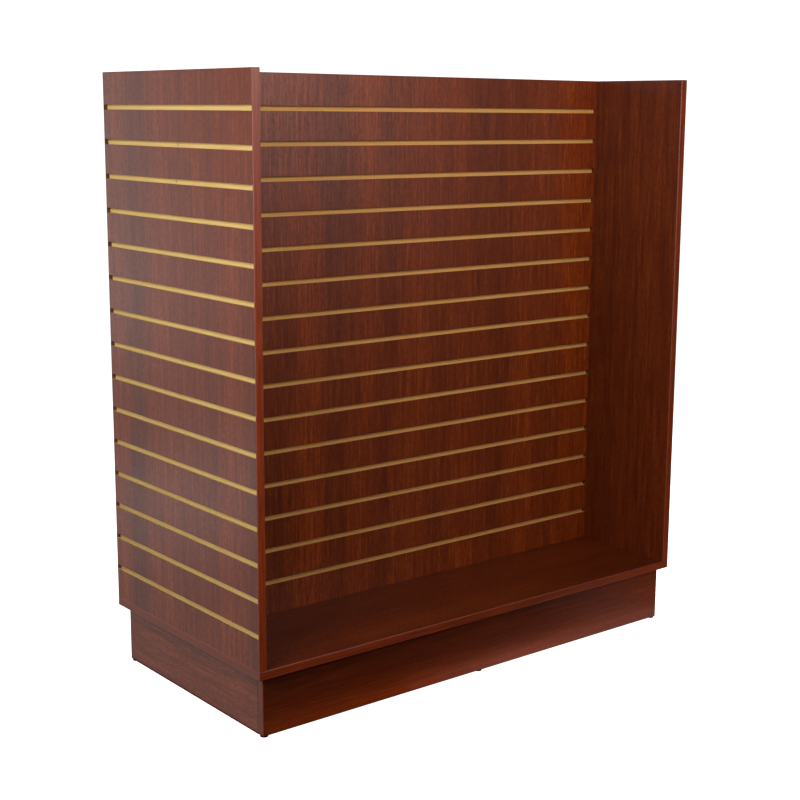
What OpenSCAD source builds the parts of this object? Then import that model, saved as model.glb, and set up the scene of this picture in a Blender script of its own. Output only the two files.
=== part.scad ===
// Four-way slatwall display unit: two slatted end panels and a double-sided slatted centre
// stand on one deck board, which a recessed plinth carries. The plan is an H.
// Frame: origin at the middle of the footprint on the floor, +X along the unit's length,
// -Y towards its front, +Z up. All lengths are in millimetres.

/* [Overall] */
// Length of the centre panels, between the two end panels
centre_len = 1219.2; // [800:0.1:2400]
// Depth of the end panels and of the deck, front to back
unit_d = 609.6; // [450:0.1:900]
// Height of the slatted panels, from the deck to their top
panel_h = 1219.2; // [500:0.1:1800]

/* [Boards] */
// Thickness of a slatwall sheet, with its two faces
board_t = 19.05; // [17:0.05:25]
// Thickness of the deck board, with its two faces
deck_t = 19.05; // [17:0.05:30]
// Thickness of the plinth's boards
kick_t = 19.05; // [16:0.05:25]
// Thickness of the cherry laminate
laminate_t = 0.7; // [0.4:0.1:1.2]
// Thickness of the plain balancing sheet on hidden faces
backer_t = 0.5; // [0.3:0.1:1]
// Thickness of the edge bands
band_t = 2; // [0.5:0.1:3]

/* [Grooves] */
// Distance from one groove's centre to the next
slot_pitch = 76.2; // [60:0.1:152.4]
// Distance from a panel's top to its first groove's centre
first_slot = 76.2; // [40:0.1:150]
// Least distance from the deck to the last groove's centre
last_slot_min = 60; // [50:1:75]
// Height of a groove's mouth
slot_mouth = 11; // [8:0.1:14]
// Thickness of the lips beside the mouth
slot_lip = 4.8; // [3:0.1:7]
// Height of the chamber behind the lips
slot_chamber_h = 22.2; // [16:0.1:30]
// Depth from the face to the groove's back wall
slot_depth = 9.5; // [8:0.1:11]

/* [Plinth] */
// Height of the plinth's boards
kick_h = 133.35; // [100:0.05:250]
// Setback of the plinth from the deck's edges
kick_inset = 19.05; // [10:0.05:60]
// Thickness of the two cross rails
rail_t = 19.05; // [16:0.05:40]
// Height of the cross rails
rail_h = 88.9; // [50:0.1:95]
// Distance between the cross rails' centres
rail_gap = 406.4; // [200:0.1:500]
// Width of a corner block, both ways
block_w = 31.75; // [30:0.05:45]
// Height of a corner block
block_h = 88.9; // [70:0.1:95]
// Width of the corner planed off a block
block_chamfer = 8; // [2:0.5:12]

/* [Glides] */
// Diameter of a glide
glide_d = 18; // [14:0.5:24]
// Height of a glide under the plinth
glide_h = 4; // [3.5:0.1:10]
// Width of the chamfer round a glide's foot
glide_chamfer = 1.2; // [0.5:0.1:2]
// Diameter of a glide's nail
nail_d = 2; // [1.5:0.1:3]
// Diameter of the nail's head
nail_head_d = 6; // [5:0.1:8]
// Thickness of the nail's head
nail_head_t = 1; // [0.6:0.1:1.4]
// Height of the nail's head above the floor
nail_rise = 1.5; // [1:0.1:2]
// Length of the nail inside the plinth's board
nail_bite = 12; // [8:0.5:20]

/* [Screws] */
// Diameter of the wood screws
screw_d = 4.2; // [3.5:0.1:5]
// Diameter of their countersunk heads
head_d = 8; // [7:0.1:9]
// Length of a foot screw inside a panel
foot_bite = 31.75; // [15:0.05:40]
// Distance between the foot screws of an end panel
end_foot_pitch = 160; // [80:1:220]
// Distance between the foot screws of a centre panel
centre_foot_pitch = 254; // [120:1:400]
// Least distance from a panel's end to a foot screw
foot_margin = 50; // [30:1:80]
// Diameter of the tie screws, slim enough for the webs of the centre sheets
tie_d = 3.5; // [3:0.1:4]
// Diameter of the tie screws' countersunk heads
tie_head_d = 7; // [6:0.1:8]
// Length of a tie screw inside a centre panel
tie_bite = 40.45; // [20:0.05:60]
// Length of a block's screws inside the boards they hold
block_bite = 12.7; // [8:0.1:15]
// Distance from a plinth board to the block screws that run along it
block_screw_in = 10.5; // [8:0.1:12]
// Distance from a block's end to its outer screws
block_screw_end = 18; // [10:0.5:24]
// Distance between a block's crossing screws
block_screw_step = 12; // [8:0.5:16]
// Distance from both plinth boards to a block's upright screw
riser_in = 20; // [19:0.1:21]
// Thickness of block that the upright screw's head draws on
riser_grip = 38.1; // [20:0.1:60]
// Diameter of the counterbore under the upright screw's head
riser_bore_d = 10; // [9.2:0.1:11]

/* [Angle braces] */
// Length of a brace's legs
brace_leg = 38.1; // [30:0.1:45]
// Width of a brace
brace_w = 15.9; // [12:0.1:25]
// Thickness of a brace
brace_t = 2; // [1.5:0.1:3]
// Distance from the corner to a leg's inner hole
brace_hole_in = 14; // [10:0.5:15]
// Distance from a leg's end to its outer hole
brace_hole_end = 8; // [6:0.5:10]
// Diameter of the brace screws
brace_screw_d = 3.5; // [3:0.1:4]
// Diameter of their heads
brace_head_d = 6.6; // [6:0.1:7]
// Length of a brace screw inside the board
brace_bite = 10.7; // [8:0.1:14]
// Distance from the middle of a rail to its deck braces
rail_brace_y = 140; // [80:1:170]

/* [Hidden] */

cherry = "#75402F";
cherry_deck = "#5E2B1B";
cherry_band = "#8A4630";
raw_board = "#C9A26C";
backing = "#7B5C42";
pine = "#D8B98C";
yellow_zinc = "#C2A055";
zinc = "#B9BCBE";
black_plastic = "#1E1C1B";

// Gap round a screw or nail in its hole, on the radius
hole_gap = 0.05;
// Overlap of a cut past the surface that it opens
over = 1;
$fn = 48;

sides = [-1, 1];

inner_x = centre_len / 2;
outer_x = inner_x + board_t;
kick_x = outer_x - kick_inset;
kick_y = unit_d / 2 - kick_inset;
kick_in_x = kick_x - kick_t;
kick_in_y = kick_y - kick_t;
glide_x = kick_x - kick_t / 2;
glide_y = kick_y - kick_t / 2;
deck_z = glide_h + kick_h;
floor_z = deck_z + deck_t;
block_z = deck_z - block_h;
end_core_len = unit_d - 2 * band_t;
core_h = panel_h - band_t;

// The web is the board left behind a groove, and a tie screw runs up its middle
web_t = board_t - slot_depth;
tie_y = (backer_t + web_t) / 2;

slot_count = floor((panel_h - first_slot - last_slot_min) / slot_pitch) + 1;
front_tie_slots = [1, floor(slot_count / 2), slot_count - 2];
back_tie_slots = [2, floor(slot_count / 2) + 1, slot_count - 1];

// Height of a groove's centre above the deck, counted from the top groove
function slot_z(i) = panel_h - first_slot - i * slot_pitch;

// Places along a centred row with a given pitch, none nearer its ends than the margin
function row(span, pitch, margin) =
    let (n = floor((span - 2 * margin) / pitch) + 1)
    [for (i = [0 : n - 1]) (i - (n - 1) / 2) * pitch];

// Turn about Z that takes the quadrant of +X and +Y to the quadrant of sx and sy
function quadrant(sx, sy) = sx > 0 ? (sy > 0 ? 0 : -90) : (sy > 0 ? 90 : 180);

// A box from its low corner to its high corner
module cuboid(low, high) {
    translate(low) cube(high - low);
}

// A panel's own frame has X along its grooves, its face at y = 0 and the deck at z = 0
module at_left_end() {
    translate([-outer_x, 0, floor_z]) rotate([0, 0, -90]) children();
}

module at_front() {
    translate([0, -board_t, floor_z]) children();
}

module at_right_end() {
    mirror([1, 0, 0]) at_left_end() children();
}

module at_back() {
    mirror([0, 1, 0]) at_front() children();
}

module t_slot(len) {
    half = len / 2 + over;
    cuboid([-half, -over, -slot_mouth / 2], [half, slot_depth, slot_mouth / 2]);
    cuboid([-half, slot_lip, -slot_chamber_h / 2], [half, slot_depth, slot_chamber_h / 2]);
}

// Board of a slatwall sheet between its faces, with its grooves
module slatted_core(len, back_t) {
    difference() {
        cuboid([-len / 2, laminate_t, 0], [len / 2, board_t - back_t, core_h]);
        for (i = [0 : slot_count - 1]) translate([0, 0, slot_z(i)]) t_slot(len);
    }
}

// Laminate strips that the grooves leave on a sheet's face
module slat_faces(len) {
    for (k = [0 : slot_count]) {
        top = k == 0 ? core_h : slot_z(k - 1) - slot_mouth / 2;
        bottom = k == slot_count ? 0 : slot_z(k) + slot_mouth / 2;
        cuboid([-len / 2, 0, bottom], [len / 2, laminate_t, top]);
    }
}

module back_sheet(len, sheet_t) {
    cuboid([-len / 2, board_t - sheet_t, 0], [len / 2, board_t, core_h]);
}

module top_band(len) {
    cuboid([-len / 2, 0, core_h], [len / 2, board_t, panel_h]);
}

// Upright band on the end of a sheet at +X of the panel's own frame
module side_band() {
    cuboid([end_core_len / 2, 0, 0], [unit_d / 2, board_t, panel_h]);
}

// Countersunk screw: its head is flush at z = 0 and it points along +Z
module screw(d, head, len) {
    rotate_extrude() polygon([
        [0, 0], [head / 2, 0], [d / 2, (head - d) / 2], [d / 2, len - d], [0, len],
    ]);
}

module screw_cut(d, head, len) {
    r = d / 2 + hole_gap;
    head_r = head / 2 + hole_gap;
    rotate_extrude() polygon([
        [0, -over], [head_r, -over], [head_r, 0], [r, head_r - r],
        [r, len - d], [r, len], [0, len + hole_gap],
    ]);
}

module foot_screw() {
    screw(screw_d, head_d, deck_t + foot_bite);
}

module foot_cut() {
    screw_cut(screw_d, head_d, deck_t + foot_bite);
}

module left_foot_places() {
    for (y = row(unit_d, end_foot_pitch, foot_margin))
        translate([-(inner_x + board_t / 2), y, deck_z]) children();
}

module centre_foot_places(side) {
    for (x = row(centre_len, centre_foot_pitch, foot_margin))
        translate([x, side * board_t / 2, deck_z]) children();
}

module tie_screw() {
    screw(tie_d, tie_head_d, web_t + tie_bite);
}

module tie_cut() {
    screw_cut(tie_d, tie_head_d, web_t + tie_bite);
}

// Tie screws run from the left panel's grooves into the web of the front or back centre sheet
module left_tie_places(side) {
    for (i = side < 0 ? front_tie_slots : back_tie_slots)
        translate([slot_depth - outer_x, side * tie_y, floor_z + slot_z(i)])
            rotate([0, 90, 0]) children();
}

module both_tie_places() {
    left_tie_places(-1) children();
    left_tie_places(1) children();
}

module at_block(sx, sy) {
    translate([sx * kick_in_x, sy * kick_in_y, block_z]) rotate([0, 0, quadrant(-sx, -sy)]) children();
}

module block_side_places() {
    for (z = [block_screw_end, block_h - block_screw_end])
        translate([block_screw_in, block_w, z]) rotate([90, 0, 0]) children();
    for (z = [block_screw_end + block_screw_step, block_h - block_screw_end - block_screw_step])
        translate([block_w, block_screw_in, z]) rotate([0, -90, 0]) children();
}

module block_side_screw() {
    screw(screw_d, head_d, block_w + block_bite);
}

module block_side_cut() {
    screw_cut(screw_d, head_d, block_w + block_bite);
}

module riser_place() {
    translate([riser_in, riser_in, block_h - riser_grip]) children();
}

module riser_screw() {
    screw(screw_d, head_d, riser_grip + block_bite);
}

module riser_cut() {
    screw_cut(screw_d, head_d, riser_grip + block_bite);
}

module corner_block(sx, sy) {
    color(pine) at_block(sx, sy) difference() {
        linear_extrude(block_h) polygon([
            [0, 0], [block_w, 0], [block_w, block_w - block_chamfer],
            [block_w - block_chamfer, block_w], [0, block_w],
        ]);
        block_side_places() block_side_cut();
        riser_place() riser_cut();
        translate([riser_in, riser_in, -over])
            cylinder(d = riser_bore_d, h = block_h - riser_grip + over);
    }
}

module each_block() {
    for (sx = sides, sy = sides) at_block(sx, sy) children();
}

// A brace sits in the corner of two boards, whose faces are its planes x = 0 and y = 0
module kick_brace_place(sx, sy) {
    translate([sx * (rail_gap + rail_t) / 2, sy * kick_in_y, deck_z - rail_h / 2])
        rotate([0, 0, quadrant(sx, -sy)]) children();
}

module deck_brace_place(sx, sy) {
    translate([sx * (rail_gap - rail_t) / 2, sy * rail_brace_y, deck_z])
        rotate([-90, 0, sx > 0 ? 180 : 0]) children();
}

module brace_places() {
    for (sx = sides, sy = sides) {
        kick_brace_place(sx, sy) children();
        deck_brace_place(sx, sy) children();
    }
}

module brace_screw_places() {
    for (along = [brace_hole_in, brace_leg - brace_hole_end]) {
        translate([along, brace_t, 0]) rotate([90, 0, 0]) children();
        translate([brace_t, along, 0]) rotate([0, -90, 0]) children();
    }
}

module brace_screw() {
    screw(brace_screw_d, brace_head_d, brace_t + brace_bite);
}

module brace_screw_cut() {
    screw_cut(brace_screw_d, brace_head_d, brace_t + brace_bite);
}

module angle_brace() {
    difference() {
        translate([0, 0, -brace_w / 2]) linear_extrude(brace_w) polygon([
            [0, 0], [brace_leg, 0], [brace_leg, brace_t],
            [brace_t, brace_t], [brace_t, brace_leg], [0, brace_leg],
        ]);
        brace_screw_places() brace_screw_cut();
    }
}

// Nail from the middle of the plinth board's edge, its head held inside the glide
module nail(gap) {
    rotate_extrude() polygon([
        [0, nail_rise - gap], [nail_head_d / 2 + gap, nail_rise - gap],
        [nail_head_d / 2 + gap, nail_rise + nail_head_t + gap],
        [nail_d / 2 + gap, nail_rise + nail_head_t + gap],
        [nail_d / 2 + gap, glide_h + nail_bite - nail_d], [0, glide_h + nail_bite + gap],
    ]);
}

module glide(sx, sy) {
    color(black_plastic) translate([sx * glide_x, sy * glide_y, 0]) difference() {
        rotate_extrude() polygon([
            [0, 0], [glide_d / 2 - glide_chamfer, 0],
            [glide_d / 2, glide_chamfer], [glide_d / 2, glide_h], [0, glide_h],
        ]);
        nail(hole_gap);
    }
}

module nail_places(sy) {
    for (sx = [-1, 0, 1]) translate([sx * glide_x, sy * glide_y, 0]) children();
}

module end_core() {
    difference() {
        at_left_end() slatted_core(end_core_len, laminate_t);
        left_foot_places() foot_cut();
        both_tie_places() tie_cut();
    }
}

module end_inner_face() {
    difference() {
        at_left_end() back_sheet(end_core_len, laminate_t);
        both_tie_places() tie_cut();
    }
}

module centre_core(side) {
    difference() {
        if (side < 0) at_front() slatted_core(centre_len, backer_t);
        else at_back() slatted_core(centre_len, backer_t);
        centre_foot_places(side) foot_cut();
        left_tie_places(side) tie_cut();
        mirror([1, 0, 0]) left_tie_places(side) tie_cut();
    }
}

module deck_layer(bottom, top) {
    difference() {
        cuboid([-(outer_x - band_t), -(unit_d / 2 - band_t), bottom],
            [outer_x - band_t, unit_d / 2 - band_t, top]);
        left_foot_places() foot_cut();
        mirror([1, 0, 0]) left_foot_places() foot_cut();
        for (side = sides) centre_foot_places(side) foot_cut();
        if (bottom < floor_z - laminate_t) {
            each_block() riser_place() riser_cut();
            for (sx = sides, sy = sides)
                deck_brace_place(sx, sy) brace_screw_places() brace_screw_cut();
        }
    }
}

module front_deck_band() {
    cuboid([-outer_x, -unit_d / 2, deck_z], [outer_x, -(unit_d / 2 - band_t), floor_z]);
}

module left_deck_band() {
    cuboid([-outer_x, -(unit_d / 2 - band_t), deck_z],
        [-(outer_x - band_t), unit_d / 2 - band_t, floor_z]);
}

// The front and back boards run the plinth's full length, and their ends are banded
module long_kick(side) {
    low_y = side < 0 ? -kick_y : kick_in_y;
    color(cherry_deck) difference() {
        cuboid([-(kick_x - band_t), low_y, glide_h], [kick_x - band_t, low_y + kick_t, deck_z]);
        for (sx = sides) {
            at_block(sx, side) block_side_places() block_side_cut();
            kick_brace_place(sx, side) brace_screw_places() brace_screw_cut();
        }
        nail_places(side) nail(hole_gap);
    }
}

module long_kick_bands(side) {
    low_y = side < 0 ? -kick_y : kick_in_y;
    color(cherry_band) for (x = [-kick_x, kick_x - band_t])
        cuboid([x, low_y, glide_h], [x + band_t, low_y + kick_t, deck_z]);
}

// The side boards stand between the front and back boards
module short_kick(side) {
    low_x = side < 0 ? -kick_x : kick_in_x;
    color(cherry_deck) difference() {
        cuboid([low_x, -kick_in_y, glide_h], [low_x + kick_t, kick_in_y, deck_z]);
        for (sy = sides) at_block(side, sy) block_side_places() block_side_cut();
    }
}

module cross_rail(side) {
    low_x = (side * rail_gap - rail_t) / 2;
    color(pine) difference() {
        cuboid([low_x, -kick_in_y, deck_z - rail_h], [low_x + rail_t, kick_in_y, deck_z]);
        for (sy = sides) {
            kick_brace_place(side, sy) brace_screw_places() brace_screw_cut();
            deck_brace_place(side, sy) brace_screw_places() brace_screw_cut();
        }
    }
}

module left_end_core() { color(raw_board) end_core(); }
module left_end_slat_faces() { color(cherry) at_left_end() slat_faces(end_core_len); }
module left_end_inner_face() { color(cherry) end_inner_face(); }
module left_end_front_band() { color(cherry_band) at_left_end() side_band(); }
module left_end_back_band() { color(cherry_band) mirror([0, 1, 0]) at_left_end() side_band(); }
module left_end_top_band() { color(cherry_band) at_left_end() top_band(end_core_len); }

module right_end_core() { color(raw_board) mirror([1, 0, 0]) end_core(); }
module right_end_slat_faces() { color(cherry) at_right_end() slat_faces(end_core_len); }
module right_end_inner_face() { color(cherry) mirror([1, 0, 0]) end_inner_face(); }
module right_end_front_band() { color(cherry_band) at_right_end() side_band(); }
module right_end_back_band() { color(cherry_band) mirror([0, 1, 0]) at_right_end() side_band(); }
module right_end_top_band() { color(cherry_band) at_right_end() top_band(end_core_len); }

module front_centre_core() { color(raw_board) centre_core(-1); }
module front_centre_slat_faces() { color(cherry) at_front() slat_faces(centre_len); }
module front_centre_backer() { color(backing) at_front() back_sheet(centre_len, backer_t); }
module front_centre_top_band() { color(cherry_band) at_front() top_band(centre_len); }

module back_centre_core() { color(raw_board) centre_core(1); }
module back_centre_slat_faces() { color(cherry) at_back() slat_faces(centre_len); }
module back_centre_backer() { color(backing) at_back() back_sheet(centre_len, backer_t); }
module back_centre_top_band() { color(cherry_band) at_back() top_band(centre_len); }

module deck_board() { color(raw_board) deck_layer(deck_z + backer_t, floor_z - laminate_t); }
module deck_top_face() { color(cherry_deck) deck_layer(floor_z - laminate_t, floor_z); }
module deck_under_face() { color(backing) deck_layer(deck_z, deck_z + backer_t); }
module deck_front_band() { color(cherry_band) front_deck_band(); }
module deck_back_band() { color(cherry_band) mirror([0, 1, 0]) front_deck_band(); }
module deck_left_band() { color(cherry_band) left_deck_band(); }
module deck_right_band() { color(cherry_band) mirror([1, 0, 0]) left_deck_band(); }

module glide_nails() { color(zinc) for (side = sides) nail_places(side) nail(0); }
module left_foot_screws() { color(zinc) left_foot_places() foot_screw(); }
module right_foot_screws() { color(zinc) mirror([1, 0, 0]) left_foot_places() foot_screw(); }
module centre_foot_screws() { color(zinc) for (side = sides) centre_foot_places(side) foot_screw(); }
module left_tie_screws() { color(yellow_zinc) both_tie_places() tie_screw(); }
module right_tie_screws() { color(yellow_zinc) mirror([1, 0, 0]) both_tie_places() tie_screw(); }
module block_side_screws() { color(zinc) each_block() block_side_places() block_side_screw(); }
module block_deck_screws() { color(zinc) each_block() riser_place() riser_screw(); }
module angle_braces() { color(zinc) brace_places() angle_brace(); }
module brace_screws() { color(zinc) brace_places() brace_screw_places() brace_screw(); }

left_end_core();
left_end_slat_faces();
left_end_inner_face();
left_end_front_band();
left_end_back_band();
left_end_top_band();
right_end_core();
right_end_slat_faces();
right_end_inner_face();
right_end_front_band();
right_end_back_band();
right_end_top_band();
front_centre_core();
front_centre_slat_faces();
front_centre_backer();
front_centre_top_band();
back_centre_core();
back_centre_slat_faces();
back_centre_backer();
back_centre_top_band();
deck_board();
deck_top_face();
deck_under_face();
deck_front_band();
deck_back_band();
deck_left_band();
deck_right_band();
long_kick(-1);  // front_kick_board
long_kick(1);  // back_kick_board
short_kick(-1);  // left_kick_board
short_kick(1);  // right_kick_board
long_kick_bands(-1);  // front_kick_end_bands
long_kick_bands(1);  // back_kick_end_bands
cross_rail(-1);  // left_cross_rail
cross_rail(1);  // right_cross_rail
corner_block(-1, -1);  // front_left_block
corner_block(1, -1);  // front_right_block
corner_block(-1, 1);  // back_left_block
corner_block(1, 1);  // back_right_block
glide(-1, -1);  // front_left_glide
glide(0, -1);  // front_middle_glide
glide(1, -1);  // front_right_glide
glide(-1, 1);  // back_left_glide
glide(0, 1);  // back_middle_glide
glide(1, 1);  // back_right_glide
glide_nails();
left_foot_screws();
right_foot_screws();
centre_foot_screws();
left_tie_screws();
right_tie_screws();
block_side_screws();
block_deck_screws();
angle_braces();
brace_screws();
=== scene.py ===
"""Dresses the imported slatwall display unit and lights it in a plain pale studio.

The unit is H-shaped in plan: two slatted end panels, a double-sided slatted centre, one deck
board and a recessed plinth. Lengths are in metres, in the frame's own axes: +X along the unit,
-Y towards its front, +Z up.
"""

import logging
import math
from collections.abc import Callable, Iterable
from dataclasses import dataclass
from enum import Enum

import bmesh
import bpy
from mathutils import Matrix, Vector


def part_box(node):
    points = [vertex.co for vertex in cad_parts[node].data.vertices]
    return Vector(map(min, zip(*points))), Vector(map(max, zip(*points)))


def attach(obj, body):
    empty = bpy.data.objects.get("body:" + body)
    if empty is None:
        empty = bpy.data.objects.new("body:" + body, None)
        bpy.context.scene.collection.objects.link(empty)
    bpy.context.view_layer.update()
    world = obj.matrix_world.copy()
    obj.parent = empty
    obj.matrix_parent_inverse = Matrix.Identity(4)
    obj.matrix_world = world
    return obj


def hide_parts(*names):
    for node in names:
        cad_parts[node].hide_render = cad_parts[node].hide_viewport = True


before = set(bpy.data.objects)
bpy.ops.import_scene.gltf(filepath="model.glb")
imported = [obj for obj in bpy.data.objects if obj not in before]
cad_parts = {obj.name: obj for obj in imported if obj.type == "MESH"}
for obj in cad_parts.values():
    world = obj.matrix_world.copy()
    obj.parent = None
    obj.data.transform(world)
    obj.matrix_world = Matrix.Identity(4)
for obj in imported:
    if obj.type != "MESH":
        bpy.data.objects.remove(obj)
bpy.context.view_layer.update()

LOG = logging.getLogger("slatwall_unit")
MM = 0.001
ROOT = "root"
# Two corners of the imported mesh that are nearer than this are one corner
WELD = 0.001 * MM
# A corner this near to a plane lies on it
ON_PLANE = 0.01 * MM
# A face looks a way when the cosine of the angle between them is over this
FACING = 0.9
# The same for a flat face beside the facets of its rounded arris
FLAT = 0.999
# Faces that meet at less than this angle shade as one surface
SMOOTH_ANGLE = math.radians(30)
# Nearly all values of a noise pattern lie between these two
PATTERN_LOW, PATTERN_HIGH = 0.3, 0.7
# How many cells one step of a pattern's place moves it along X, Y and Z
PLACE_STEP = (7, 11, 5)
# The numbers of a Mix node's inputs: its share, its two numbers and its two colours
MIX_SHARE, MIX_A, MIX_B, MIX_COLOUR_A, MIX_COLOUR_B = 0, 2, 3, 6, 7
# The numbers of its outputs: the mixed number and the mixed colour
MIXED, MIXED_COLOUR = 0, 2
WHITE = "#FFFFFF"

X, Y, Z = Vector((1, 0, 0)), Vector((0, 1, 0)), Vector((0, 0, 1))
Box = tuple[Vector, Vector]
Colour = tuple[float, float, float, float]
Socket = bpy.types.NodeSocket


def linear(code: str, tone: float = 1.0) -> Colour:
    """Turns an sRGB hex colour to the linear colour that shaders take.

    Args:
        code: The colour as six hex digits after a hash.
        tone: How many times lighter the colour is made.

    Returns:
        Red, green, blue and an alpha of one.
    """
    channels = []
    for start in (1, 3, 5):
        value = int(code[start:start + 2], 16) / 255
        channels.append(tone * (value / 12.92 if value <= 0.04045 else ((value + 0.055) / 1.055) ** 2.4))
    return (*channels, 1.0)


def add_node(tree: bpy.types.NodeTree, kind: str, inputs: dict | None = None,
             stops: Iterable[tuple[float, Colour]] = (), **settings: object) -> bpy.types.Node:
    """Adds a node with its settings, its input values and its links.

    Args:
        tree: The node tree that takes the node.
        kind: The node's type name.
        inputs: For each input's name or number, a value or the socket to link from.
        stops: The places and linear colours of a colour ramp.
        settings: The node's own properties.

    Returns:
        The new node.
    """
    node = tree.nodes.new(kind)
    for name, value in settings.items():
        setattr(node, name, value)
    for key, value in (inputs or {}).items():
        if isinstance(value, Socket):
            tree.links.new(value, node.inputs[key])
        else:
            node.inputs[key].default_value = value
    for count, (place, colour) in enumerate(stops):
        ramp = node.color_ramp.elements
        stop = ramp[count] if count < len(ramp) else ramp.new(place)
        stop.position, stop.color = place, colour
    return node


class Grain(Enum):
    """The axis that a piece's grain or tool marks run along."""

    ALONG_X = 0
    ALONG_Y = 1
    UPRIGHT = 2

    def cells(self, width: float, length: float) -> tuple[float, ...]:
        """Gives the size of a pattern's cells along X, Y and Z.

        Args:
            width: The cells' width across the grain.
            length: Their length along it.

        Returns:
            One size for each axis.
        """
        return tuple(length if axis == self.value else width for axis in range(3))


@dataclass(frozen=True)
class Finish:
    """A surface finish: one named material, built from nodes when it is first asked for."""

    name: str

    def material(self) -> bpy.types.Material:
        """Gives the finish's material, and builds it the first time.

        Returns:
            The material.
        """
        made = bpy.data.materials.get(self.name)
        if made is None:
            made = bpy.data.materials.new(self.name)
            made.use_nodes = True
            made.node_tree.nodes.clear()
            shader = self.shader(made.node_tree)
            add_node(made.node_tree, "ShaderNodeOutputMaterial", {"Surface": shader.outputs[0]})
        return made

    def shader(self, tree: bpy.types.NodeTree) -> bpy.types.Node:
        """Builds the finish's nodes in the tree and gives their shader."""
        raise NotImplementedError

    @staticmethod
    def pattern(tree: bpy.types.NodeTree, cells: Iterable[float], place: float = 0.0,
                detail: float = 3.0, waver: float = 0.0, crispness: float = 0.5) -> Socket:
        """Draws an irregular pattern of a real size on the piece's own coordinates.

        Args:
            tree: The material's node tree.
            cells: The size of the pattern's cells along X, Y and Z.
            place: How many steps the pattern is moved, so that pieces differ.
            detail: How many finer octaves the pattern has.
            waver: How far the pattern is bent.
            crispness: How strong each finer octave is beside the one before.

        Returns:
            The pattern's value, about 0.5 on average.
        """
        where = add_node(tree, "ShaderNodeTexCoord").outputs["Object"]
        scaled = add_node(tree, "ShaderNodeMapping", {
            "Vector": where, "Scale": tuple(1 / cell for cell in cells),
            "Location": tuple(place * step for step in PLACE_STEP)}).outputs[0]
        return add_node(tree, "ShaderNodeTexNoise", {
            "Vector": scaled, "Scale": 1.0, "Detail": detail, "Distortion": waver,
            "Roughness": crispness}).outputs["Fac"]


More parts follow.
